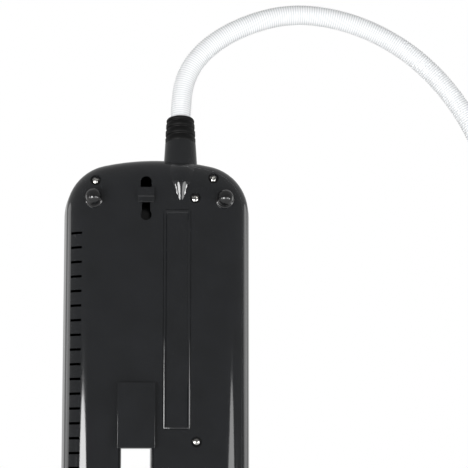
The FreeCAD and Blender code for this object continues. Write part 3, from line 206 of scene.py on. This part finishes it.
hose = bmesh.new()
crest_layer = hose.verts.layers.float.new("crest")
rings = []
side = Vector((1, 0, 0))
for index, (centre, way) in enumerate(even_marks(hose_path, RIB_PITCH / 2)):
    side = (side - way * side.dot(way)).normalized()
    up = way.cross(side)
    radius = HOSE_RADIUS if index % 2 else HOSE_VALLEY
    ring = []
    for turn in range(HOSE_SIDES):
        angle = 2 * math.pi * turn / HOSE_SIDES
        ring.append(hose.verts.new(centre + (side * math.cos(angle) + up * math.sin(angle)) * radius))
        ring[-1][crest_layer] = index % 2
    rings.append(ring)
for first, second in zip(rings, rings[1:]):
    for turn in range(HOSE_SIDES):
        after = (turn + 1) % HOSE_SIDES
        hose.faces.new((first[turn], first[after], second[after], second[turn]))
bmesh.ops.recalc_face_normals(hose, faces=hose.faces)
hose_nodes = ("hose_run", "hose_coil")
hose_piece = add_piece("ribbed_hose", hose, clear_vinyl, "housing", hose_nodes, crisp=0)
wall = hose_piece.modifiers.new("hose_wall", "SOLIDIFY")
wall.thickness = HOSE_WALL
wall.offset = -1.0

bodies = frame["record"]["behaviour"]["bodies"]
body_of = {node: body for body, group in bodies.items() for node in group}


MERGE_DISTANCE = 0.00001
FLAT_ANGLE = math.radians(0.6)
ROUNDED_ANGLE = math.radians(35)


def dress(finish, *nodes):
    """Gives CAD nodes their finish."""
    for node in nodes:
        for place in frame["nodes"][node].material_slots:
            place.material = finish


def eased(node, finish, width):
    """A copy of a moulded CAD node whose sharp edges get the small round of a real tool."""
    form = bmesh.new()
    form.from_mesh(frame["nodes"][node].data)
    bmesh.ops.remove_doubles(form, verts=form.verts, dist=MERGE_DISTANCE)
    bmesh.ops.dissolve_limit(
        form,
        angle_limit=FLAT_ANGLE,
        verts=form.verts,
        edges=form.edges,
        use_dissolve_boundaries=False,
    )
    piece = add_piece(node + "_moulding", form, finish, body_of[node], (node,))
    ease = piece.modifiers.new("tool_rounds", "BEVEL")
    ease.width = width
    ease.segments = 2
    ease.limit_method = "ANGLE"
    ease.angle_limit = ROUNDED_ANGLE
    even = piece.modifiers.new("flat_faces", "WEIGHTED_NORMAL")
    even.keep_sharp = True
    return piece


# Housing shells: ABS moulded in a polished tool, near black and glossy, with the faint
# waviness that a moulded skin has. The two halves are screwed together through bosses.
gloss_abs, tree, shader = new_finish(
    "polished_moulded_abs", Roughness=0.08, IOR=1.53, Specular_IOR_Level=0.42
)
place = add_node(tree, "ShaderNodeTexCoord")
WAVE_MM = 22.0
sink = add_node(
    tree,
    "ShaderNodeTexNoise",
    {"Scale": 1000.0 / WAVE_MM, "Detail": 1.0},
    {"Vector": place.outputs["Object"]},
)
shade = add_node(tree, "ShaderNodeValToRGB", links={"Fac": sink.outputs["Fac"]})
shade.color_ramp.elements[0].color = linear("131415")
shade.color_ramp.elements[1].color = linear("191A1C")
tree.links.new(shade.outputs["Color"], shader.inputs["Base Color"])
ripple = add_node(
    tree, "ShaderNodeBump", {"Strength": 0.12, "Distance": 0.0003}, {"Height": sink.outputs["Fac"]}
)
tree.links.new(ripple.outputs["Normal"], shader.inputs["Normal"])
dress(gloss_abs, "rear_shell", "front_shell")

# Covers let into the shells: the hook pocket's hood, the lining of the opening and the flat
# panel over the riser. Snapped in, of the same glossy ABS, with small rounds at their edges.
eased("hook_pocket", gloss_abs, 0.0015)
eased("tunnel_liner", gloss_abs, 0.0004)
panel_low, panel_high = (Vector(corner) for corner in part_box("duct_cover"))
PANEL_BORDER = 0.0017
PANEL_ROUND = 0.0008
CORNER_ANGLE = 1.2
panel = bmesh.new()
bmesh.ops.create_cube(panel, size=1.0)
bmesh.ops.scale(panel, vec=panel_high - panel_low, verts=panel.verts)
bmesh.ops.translate(panel, vec=(panel_high + panel_low) / 2, verts=panel.verts)
bmesh.ops.recalc_face_normals(panel, faces=panel.faces)
outer_face = [face for face in panel.faces if face.normal.y < -0.9]
for thickness, sinking in ((PANEL_BORDER, 0.0), (PANEL_ROUND, PANEL_ROUND)):
    bmesh.ops.inset_region(
        panel, faces=outer_face, thickness=thickness, depth=-sinking, use_even_offset=True
    )
panel_rim = [edge for edge in panel.edges if edge.calc_face_angle(0.0) > CORNER_ANGLE]
bmesh.ops.bevel(
    panel,
    geom=panel_rim,
    offset=PANEL_ROUND,
    segments=3,
    profile=0.5,
    affect="EDGES",
    material=-1,
)
add_piece("riser_panel", panel, gloss_abs, "housing", ("duct_cover",))


# Hanger bridge: the strap across the keyhole slot, moulded of the shell's glossy ABS and
# crowned, so that it stands out from the flat wall round it.
STRAP_LOW = Vector((-0.0154, -0.0517, 0.4516))
STRAP_HIGH = Vector((-0.0030, -0.0472, 0.4634))
STRAP_CROWN = 0.0024
strap = bmesh.new()
bmesh.ops.create_grid(strap, x_segments=2, y_segments=16, size=0.5)
for vert in strap.verts:
    across, along = vert.co.x + 0.5, vert.co.y + 0.5
    vert.co.x = STRAP_LOW.x + (STRAP_HIGH.x - STRAP_LOW.x) * across
    vert.co.z = STRAP_LOW.z + (STRAP_HIGH.z - STRAP_LOW.z) * along
    vert.co.y = STRAP_LOW.y + STRAP_CROWN * (2 * along - 1) ** 2
strap_rim = [edge for edge in strap.edges if edge.is_boundary]
strap_back = bmesh.ops.extrude_edge_only(strap, edges=strap_rim)["geom"]
for vert in (part for part in strap_back if isinstance(part, bmesh.types.BMVert)):
    vert.co.y = STRAP_HIGH.y
strap_end = [part for part in strap_back if isinstance(part, bmesh.types.BMEdge)]
bmesh.ops.contextual_create(strap, geom=strap_end)
bmesh.ops.recalc_face_normals(strap, faces=strap.faces)
add_piece("hanger_strap", strap, gloss_abs, "housing", crisp=30.0)


def moulded(name, dark, pale, grain_mm, relief_mm, **values):
    """A moulded or cast finish: two close shades and a fine relief of one grain size."""
    finish, tree, shader = new_finish(name, **values)
    place = add_node(tree, "ShaderNodeTexCoord")
    grain = add_node(
        tree,
        "ShaderNodeTexNoise",
        {"Scale": 1000.0 / grain_mm, "Detail": 3.0},
        {"Vector": place.outputs["Object"]},
    )
    shade = add_node(tree, "ShaderNodeValToRGB", links={"Fac": grain.outputs["Fac"]})
    shade.color_ramp.elements[0].position = 0.3
    shade.color_ramp.elements[0].color = linear(dark)
    shade.color_ramp.elements[1].position = 0.7
    shade.color_ramp.elements[1].color = linear(pale)
    tree.links.new(shade.outputs["Color"], shader.inputs["Base Color"])
    relief = add_node(
        tree,
        "ShaderNodeBump",
        {"Strength": 0.5, "Distance": relief_mm / 1000.0},
        {"Height": grain.outputs["Fac"]},
    )
    tree.links.new(relief.outputs["Normal"], shader.inputs["Normal"])
    return finish


def spun(form, outline, foot, way, steps=48):
    """Turns an outline of radii and heights in millimetres round an axis from a foot."""
    before = set(form.verts)
    points = [form.verts.new((radius / 1000, 0, height / 1000)) for radius, height in outline]
    edges = [form.edges.new(pair) for pair in zip(points, points[1:])]
    bmesh.ops.spin(
        form,
        geom=points + edges,
        cent=(0, 0, 0),
        axis=(0, 0, 1),
        dvec=(0, 0, 0),
        angle=2 * math.pi,
        steps=steps,
        use_merge=True,
        use_duplicate=False,
    )
    fresh = [vert for vert in form.verts if vert not in before]
    bmesh.ops.remove_doubles(form, verts=fresh, dist=0.000004)
    fresh = [vert for vert in form.verts if vert not in before]
    faces = list({face for vert in fresh for face in vert.link_faces})
    bmesh.ops.recalc_face_normals(form, faces=faces)
    turn = Vector((0, 0, 1)).rotation_difference(Vector(way)).to_matrix().to_4x4()
    bmesh.ops.transform(form, matrix=Matrix.Translation(foot) @ turn, verts=fresh)


# Bumpers: two soft black rubber balls that keep the housing off the wall, each moulded in
# one with its flange and neck and pulled through a hole by its stem. Smooth and shiny.
shiny_rubber = moulded(
    "moulded_nitrile_rubber_polished",
    "0C0C0D",
    "131314",
    1.2,
    0.01,
    Roughness=0.14,
    IOR=1.52,
    Specular_IOR_Level=0.5,
)
BALL_RADIUS = 6.4
BALL_REACH = 8.9
WALL_FACE = -0.047
bumper_outline = [(0, -4.0), (2.6, -4.0), (2.6, 0), (7.0, 0), (7.1, 0.4), (6.9, 0.8), (6.4, 1.0)]
bumper_outline += [(6.0, 1.3), (5.8, 2.2), (5.7, 4.0), (5.75, 5.6)]
for step in range(-2, 10):
    angle = math.radians(10 * step - 5 + 5 * step / 9)
    bumper_outline.append((BALL_RADIUS * math.cos(angle), BALL_REACH + BALL_RADIUS * math.sin(angle)))
for node in ("bumper_left", "bumper_right"):
    middle = sum((Vector(corner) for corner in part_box(node)), Vector()) / 2
    ball = bmesh.new()
    spun(ball, bumper_outline, (middle.x, WALL_FACE, middle.z), (0, -1, 0))
    add_piece(node + "_ball", ball, shiny_rubber, "housing", (node,))

# Spout fittings: a black rubber cuff of four rounded rings that grips the hose on its barb.
# Cast rubber, smooth and dull. The barb inside is grey moulded polypropylene.
cuff_rubber = moulded(
    "cast_epdm_rubber",
    "040404",
    "080808",
    1.5,
    0.02,
    Roughness=0.5,
    IOR=1.52,
    Specular_IOR_Level=0.16,
)
SPOUT_FOOT = Vector((0.018, -0.027, 0.4814))
SPOUT_WAY = Vector((0, math.sin(math.radians(12)), math.cos(math.radians(12))))
cuff_outline = [
    (6.3, 21.1), (11.6, 21.1), (12.0, 21.6), (12.05, 24.6), (11.7, 25.2), (10.6, 25.5), (10.35, 26.0),
    (10.6, 26.5), (11.5, 26.8), (11.85, 27.3), (11.8, 30.0), (11.4, 30.6), (10.3, 30.9), (10.05, 31.4),
    (10.3, 31.9), (11.1, 32.2), (11.45, 32.7), (11.35, 35.0), (11.0, 35.5), (10.1, 35.8), (9.9, 36.2),
    (10.1, 36.6), (10.8, 36.9), (11.1, 37.3), (11.05, 38.2), (10.6, 38.8), (9.4, 39.15), (8.2, 39.2),
    (8.15, 31.0), (6.3, 31.0), (6.3, 21.1),
]
CUFF_STRETCH = 1.18
cuff_foot = cuff_outline[0][1]
cuff_outline = [(radius, cuff_foot + (height - cuff_foot) * CUFF_STRETCH) for radius, height in cuff_outline]
cuff = bmesh.new()
spun(cuff, cuff_outline, SPOUT_FOOT, SPOUT_WAY, 64)
add_piece("ringed_cuff", cuff, cuff_rubber, "housing", ("hose_cuff",))
grey_polypropylene = moulded(
    "moulded_grey_polypropylene", "8C8E90", "97999B", 2.0, 0.01, Roughness=0.4, IOR=1.49
)
dress(grey_polypropylene, "hose_barb", "riser_duct")

# Screws: stainless pan heads with a cross recess, in deep bores of the wall face. The heads
# are cold formed and tumbled, so they glint at their rims and in the recess.
stainless, tree, shader = new_finish("tumbled_stainless_steel", Metallic=1.0, Roughness=0.15)
place = add_node(tree, "ShaderNodeTexCoord")
scuff = add_node(
    tree, "ShaderNodeTexNoise", {"Scale": 1600.0, "Detail": 3.0}, {"Vector": place.outputs["Object"]}
)
shade = add_node(tree, "ShaderNodeValToRGB", links={"Fac": scuff.outputs["Fac"]})
shade.color_ramp.elements[0].color = linear("8F8E8B")
shade.color_ramp.elements[1].color = linear("C4C3C0")
tree.links.new(shade.outputs["Color"], shader.inputs["Base Color"])
scratch = add_node(
    tree, "ShaderNodeBump", {"Strength": 0.25, "Distance": 0.00005}, {"Height": scuff.outputs["Fac"]}
)
tree.links.new(scratch.outputs["Normal"], shader.inputs["Normal"])
HEAD_RADIUS = 3.1
HEAD_DOME = 0.75
HEAD_SIDE = 1.35
HEAD_EDGE = 0.25
SHANK_RADIUS = 1.6
CROSS_DEPTH = 1.1
CROSS_REACH = 0.52
CROSS_LINES = (-1.0, -0.76, -CROSS_REACH, -0.15, 0.15, CROSS_REACH, 0.76, 1.0)
GRID_CELLS = len(CROSS_LINES) - 1
GRID_HALF = GRID_CELLS / 2


def screw(form, spot, way, length, turn):
    """A pan head whose cross is pressed into a grid of faces drawn out to a disc, on its shank."""
    before = set(form.verts)
    bmesh.ops.create_grid(form, x_segments=GRID_CELLS, y_segments=GRID_CELLS, size=GRID_HALF)
    head = [vert for vert in form.verts if vert not in before]
    top = list({face for vert in head for face in vert.link_faces})
    pressed = []
    for face in top:
        centre = face.calc_center_median()
        if min(abs(centre.x), abs(centre.y)) < 0.2 and centre.length < 1.5:
            pressed.append(face)
    for vert in head:
        column, row = round(vert.co.x + GRID_HALF), round(vert.co.y + GRID_HALF)
        flat = Vector((CROSS_LINES[column], CROSS_LINES[row], 0))
        reach = max(abs(flat.x), abs(flat.y))
        share = max(0.0, (reach - CROSS_REACH) / (1 - CROSS_REACH))
        flat = flat.lerp(flat.normalized() * reach, share)
        vert.co = flat * HEAD_RADIUS
        vert.co.z = HEAD_DOME * (1 - flat.length_squared)
    rim = [edge for edge in form.edges if edge.is_boundary and edge.verts[0] not in before]
    sunk = bmesh.ops.extrude_face_region(form, geom=pressed)["geom"]
    sunk = [part for part in sunk if isinstance(part, bmesh.types.BMVert)]
    bmesh.ops.delete(form, geom=[face for face in pressed if face.is_valid], context="FACES_ONLY")
    bmesh.ops.translate(form, vec=(0, 0, -CROSS_DEPTH), verts=sunk)
    bmesh.ops.scale(form, vec=(0.8, 0.8, 1.0), verts=sunk)
    for drop, grow in (
        (HEAD_EDGE, 1.03),
        (HEAD_SIDE - HEAD_EDGE, 1.0),
        (0.0, SHANK_RADIUS / HEAD_RADIUS),
        (length, 1.0),
        (0.8, 0.1),
    ):
        made = bmesh.ops.extrude_edge_only(form, edges=rim)["geom"]
        ring = [part for part in made if isinstance(part, bmesh.types.BMVert)]
        rim = [part for part in made if isinstance(part, bmesh.types.BMEdge)]
        bmesh.ops.translate(form, vec=(0, 0, -drop), verts=ring)
        bmesh.ops.scale(form, vec=(grow, grow, 1.0), verts=ring)
    bmesh.ops.contextual_create(form, geom=rim)
    fresh = [vert for vert in form.verts if vert not in before]
    bmesh.ops.scale(form, vec=(0.001, 0.001, 0.001), verts=fresh)
    faces = list({face for vert in fresh for face in vert.link_faces})
    bmesh.ops.recalc_face_normals(form, faces=faces)
    swing = Matrix.Rotation(math.radians(turn), 4, "Z")
    lean = Vector((0, 0, 1)).rotation_difference(Vector(way)).to_matrix().to_4x4()
    bmesh.ops.transform(form, matrix=Matrix.Translation(spot) @ lean @ swing, verts=fresh)


RECESS = 0.0046
CROWN_RECESS = 0.0075
SCREW_TIP = 0.010
FLOOR_SCREW_X = 0.024
FLOOR_SCREW_Y = 0.0394
FLOOR_HEAD_TOP = 0.0053
FLOOR_HEAD = 2.1
shell_screws = bmesh.new()
for x, z, recess, turn in (
    (-0.0485, 0.4693, CROWN_RECESS, 20),
    (0.0434, 0.4716, CROWN_RECESS, 65),
    (0.0292, 0.4556, RECESS, 32),
    (0.0307, 0.2666, RECESS, 8),
    (-0.0400, 0.0400, RECESS, 50),
    (-0.0140, 0.1500, RECESS, 75),
):
    seat = WALL_FACE + recess
    spot = (x, seat - 0.001 * HEAD_SIDE, z)
    screw(shell_screws, spot, (0, -1, 0), 1000 * (SCREW_TIP - seat) - 1.0, turn)
add_piece("closing_screws", shell_screws, stainless, "housing", ("shell_screws",))
floor_screws = bmesh.new()
for x in (-FLOOR_SCREW_X, FLOOR_SCREW_X):
    for y in (-FLOOR_SCREW_Y, FLOOR_SCREW_Y):
        spot = (x, y, FLOOR_HEAD_TOP - 0.001 * (FLOOR_HEAD - HEAD_SIDE))
        screw(floor_screws, spot, (0, 0, -1), 15.0, 900 * x + 400 * y)
add_piece("base_plate_screws", floor_screws, stainless, "housing", ("base_screws",))
dress(stainless, "hinge_pin")

# Foot: a base plate of matt moulded ABS under the shells, with a soft rubber pad bonded on.
# The tool's spark-eroded grain leaves the plate dull, and the pad is duller still.
grained_abs = moulded(
    "spark_grained_abs", "1E1F20", "26272A", 0.9, 0.04, Roughness=0.5, IOR=1.53
)
pad_rubber = moulded("sponge_backed_rubber", "232323", "2C2C2C", 0.8, 0.06, Roughness=0.8, IOR=1.5)
eased("base_plate", grained_abs, 0.0007)
eased("base_pad", pad_rubber, 0.0008)

# Media door on the far side: a glossy ABS lid on a steel pin, shut by a sliding latch of
# grained ABS, with a rubber gasket squeezed between it and the shell.
eased("media_door", gloss_abs, 0.0006)
eased("door_latch", grained_abs, 0.0004)
seal_rubber = moulded("extruded_epdm_seal", "17181A", "1E1F21", 1.0, 0.02, Roughness=0.6, IOR=1.5)
dress(seal_rubber, "door_gasket", "duct_seal")

# Cable entry: a grommet of soft rubber, cone outside and flange in, pressed in its hole.
dress(pad_rubber, "cable_gland")

# Return nozzle: a glossy moulded tip that the hose is pushed on, stepped down to its outlet.
dress(gloss_abs, "return_nozzle")

# Media basket: an open moulded tray of black polypropylene, slotted underneath for the flow.
eased("media_basket", grained_abs, 0.0003)

# Ceramic rings: extruded and fired, unglazed, so they are chalky, warm white and pitted.
fired_ceramic = moulded("unglazed_fired_ceramic", "CFC4B0", "E6DECD", 0.7, 0.12, Roughness=0.9, IOR=1.6)
dress(fired_ceramic, "ceramic_rings")


# Filter pads: open-cell polyurethane foam cut in blocks, and soft polyester floss. They fill
# their rooms in the basket, with faces that swell a little and cut edges that give way.
def cut_pad(node, finish, swell):
    """A block of foam cut to its room: each face is crowned and the edges draw in."""
    low, high = (Vector(corner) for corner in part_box(node))
    middle, half = (low + high) / 2, (high - low) / 2
    form = bmesh.new()
    bmesh.ops.create_cube(form, size=2.0)
    bmesh.ops.subdivide_edges(form, edges=form.edges, cuts=9, use_grid_fill=True)
    for vert in form.verts:
        u, v, w = vert.co
        near_u, near_v, near_w = 1 - u**6, 1 - v**6, 1 - w**6
        vert.co.x = u * (1 - swell * (1 - near_v * near_w))
        vert.co.y = v * (1 - swell * (1 - near_u * near_w))
        vert.co.z = w * (1 - swell * (1 - near_u * near_v))
    bmesh.ops.scale(form, vec=half, verts=form.verts)
    bmesh.ops.translate(form, vec=middle, verts=form.verts)
    bmesh.ops.recalc_face_normals(form, faces=form.faces)
    piece = add_piece(node + "_pad", form, finish, "housing", (node,))
    rounded = piece.modifiers.new("soft_edges", "SUBSURF")
    rounded.levels = 1
    rounded.render_levels = 1


def cellular(name, dark, pale, cell_mm):
    """Open-cell foam: painted shade darkens the pores, against the paler struts between them, one cell a
    grain.
    """
    finish, tree, shader = new_finish(name, Roughness=0.95, IOR=1.45)
    place = add_node(tree, "ShaderNodeTexCoord")
    cells = add_node(
        tree, "ShaderNodeTexVoronoi", {"Scale": 1000.0 / cell_mm}, {"Vector": place.outputs["Object"]}
    )
    # Painted shade: the ramp gives the middle of each cell, where the pore is, the darker colour.
    shade = add_node(tree, "ShaderNodeValToRGB", links={"Fac": cells.outputs["Distance"]})
    shade.color_ramp.elements[0].position = 0.15
    shade.color_ramp.elements[0].color = linear(dark)
    shade.color_ramp.elements[1].position = 0.55
    shade.color_ramp.elements[1].color = linear(pale)
    tree.links.new(shade.outputs["Color"], shader.inputs["Base Color"])
    pores = add_node(
        tree, "ShaderNodeBump", {"Strength": 0.8, "Distance": 0.0006}, {"Height": cells.outputs["Distance"]}
    )
    tree.links.new(pores.outputs["Normal"], shader.inputs["Normal"])
    return finish


# The darker colour of each foam and of the floss is painted shade in its pores.
blue_foam = cellular("open_cell_polyurethane_blue", "1C3350", "3E6E9E", 1.6)
black_foam = cellular("open_cell_polyurethane_black", "0E0E0F", "303133", 1.4)
floss = cellular("polyester_floss", "C9CED2", "F2F4F5", 2.4)
cut_pad("coarse_sponge", blue_foam, 0.03)
cut_pad("carbon_pad", black_foam, 0.03)
cut_pad("fine_floss", floss, 0.05)
cut_pad("prefilter_foam", black_foam, 0.03)

# Pump: a potted motor in a grained housing, a volute cover, and a rotor of pale acetal and
# ferrite that turns on a ground ceramic shaft between two ceramic bushes.
eased("motor_case", grained_abs, 0.0005)
eased("pump_cover", grained_abs, 0.0004)
white_acetal = moulded("moulded_white_acetal", "C9CBC9", "D9DAD8", 1.5, 0.01, Roughness=0.35, IOR=1.48)
dress(white_acetal, "impeller")
ferrite = moulded("sintered_ferrite", "2A2A2C", "38383B", 0.6, 0.03, Roughness=0.45, IOR=2.0)
dress(ferrite, "rotor_magnet")
ground_alumina = moulded("ground_alumina", "E4E4E0", "F0F0EC", 0.9, 0.005, Roughness=0.2, IOR=1.76)
dress(ground_alumina, "rotor_shaft", "lower_bush", "upper_bush")
laminations, tree, shader = new_finish("varnished_steel_laminations", Metallic=0.6, Roughness=0.4)
place = add_node(tree, "ShaderNodeTexCoord")
SHEET_MM = 1.0
stack = add_node(
    tree,
    "ShaderNodeTexWave",
    {
        "wave_type": "BANDS",
        "bands_direction": "Z",
        "Scale": 1000.0 / SHEET_MM / (2 * math.pi),
        "Distortion": 0.2,
    },
    {"Vector": place.outputs["Object"]},
)
shade = add_node(tree, "ShaderNodeValToRGB", links={"Fac": stack.outputs["Fac"]})
shade.color_ramp.elements[0].color = linear("3A2E28")
shade.color_ramp.elements[1].color = linear("77695E")
tree.links.new(shade.outputs["Color"], shader.inputs["Base Color"])
dress(laminations, "stator_block")

# Studio: a white surround. Gloss shows it dimmer, most of all towards the camera, where the
# room is dark, and brighter overhead. A pale paper floor keeps the shadow.
room = bpy.data.worlds.new("white_room")
bpy.context.scene.world = room
room.use_nodes = True
tree = room.node_tree
back = tree.nodes["Background"]
back.inputs["Color"].default_value = (1, 1, 1, 1)
ROOM_DIFFUSE = 0.72
ROOM_GLOSS_LEAST = 0.20
ROOM_GLOSS_MOST = 0.55
BRIGHT_WAY = (0.0, 0.8, 0.6)
rays = add_node(tree, "ShaderNodeLightPath")
seen = add_node(tree, "ShaderNodeMath", {"operation": "MAXIMUM"})
tree.links.new(rays.outputs["Is Camera Ray"], seen.inputs[0])
tree.links.new(rays.outputs["Is Transmission Ray"], seen.inputs[1])
way = add_node(tree, "ShaderNodeTexCoord")
facing = add_node(tree, "ShaderNodeVectorMath", {"operation": "DOT_PRODUCT"})
facing.inputs[1].default_value = BRIGHT_WAY
tree.links.new(way.outputs["Generated"], facing.inputs[0])
gloss_level = add_node(
    tree, "ShaderNodeMapRange", {"From Min": -1.0, "To Min": ROOM_GLOSS_LEAST, "To Max": ROOM_GLOSS_MOST}
)
tree.links.new(facing.outputs["Value"], gloss_level.inputs["Value"])
plain_level = add_node(tree, "ShaderNodeMapRange", {"To Min": ROOM_DIFFUSE})
tree.links.new(rays.outputs["Is Glossy Ray"], plain_level.inputs["Value"])
tree.links.new(gloss_level.outputs["Result"], plain_level.inputs["To Max"])
level = add_node(tree, "ShaderNodeMapRange", {"To Max": 1.0})
tree.links.new(seen.outputs[0], level.inputs["Value"])
tree.links.new(plain_level.outputs["Result"], level.inputs["To Min"])
tree.links.new(level.outputs["Result"], back.inputs["Strength"])

floor_form = bmesh.new()
bmesh.ops.create_grid(floor_form, x_segments=1, y_segments=1, size=6.0)
floor_mesh = bpy.data.meshes.new("pale_floor")
floor_form.to_mesh(floor_mesh)
floor_form.free()
floor = bpy.data.objects.new("pale_floor", floor_mesh)
bpy.context.collection.objects.link(floor)
pale = moulded("pale_paper", "EFEFEF", "F4F4F4", 3.0, 0.05, Roughness=0.9, IOR=1.45)
floor.data.materials.append(pale)

# Lamps: two small round ones at the sides, which put two spots on each bumper, and two round
# soft boxes low beside the camera, the left one brighter, for the wedge down each rounded side.
# Two dim screens beyond the object light the edges of the sides, the spout and the pocket.
for name, spot, aim, width, power in (
    ("left_lamp", (-1.05, -0.75, 0.12), (0, 0, 0.40), 0.20, 2.6),
    ("right_lamp", (1.10, -0.70, 0.12), (0, 0, 0.40), 0.20, 2.6),
    ("left_box", (-0.49, -1.16, 0.06), (-0.06, 0, 0.30), 0.62, 18.0),
    ("right_box", (0.66, -1.08, -0.01), (0.06, 0, 0.30), 0.80, 10.0),
    ("left_screen", (-1.11, 0.56, 0.45), (0, 0, 0.40), 0.70, 1.7),
    ("right_screen", (1.11, 0.56, 0.45), (0, 0, 0.40), 0.70, 1.7),
):
    lamp = bpy.data.lights.new(name, "AREA")
    lamp.shape = "DISK"
    lamp.size = width
    lamp.energy = power
    holder = bpy.data.objects.new(name, lamp)
    holder.location = spot
    holder.rotation_euler = (Vector(aim) - Vector(spot)).to_track_quat("-Z", "Y").to_euler()
    bpy.context.collection.objects.link(holder)
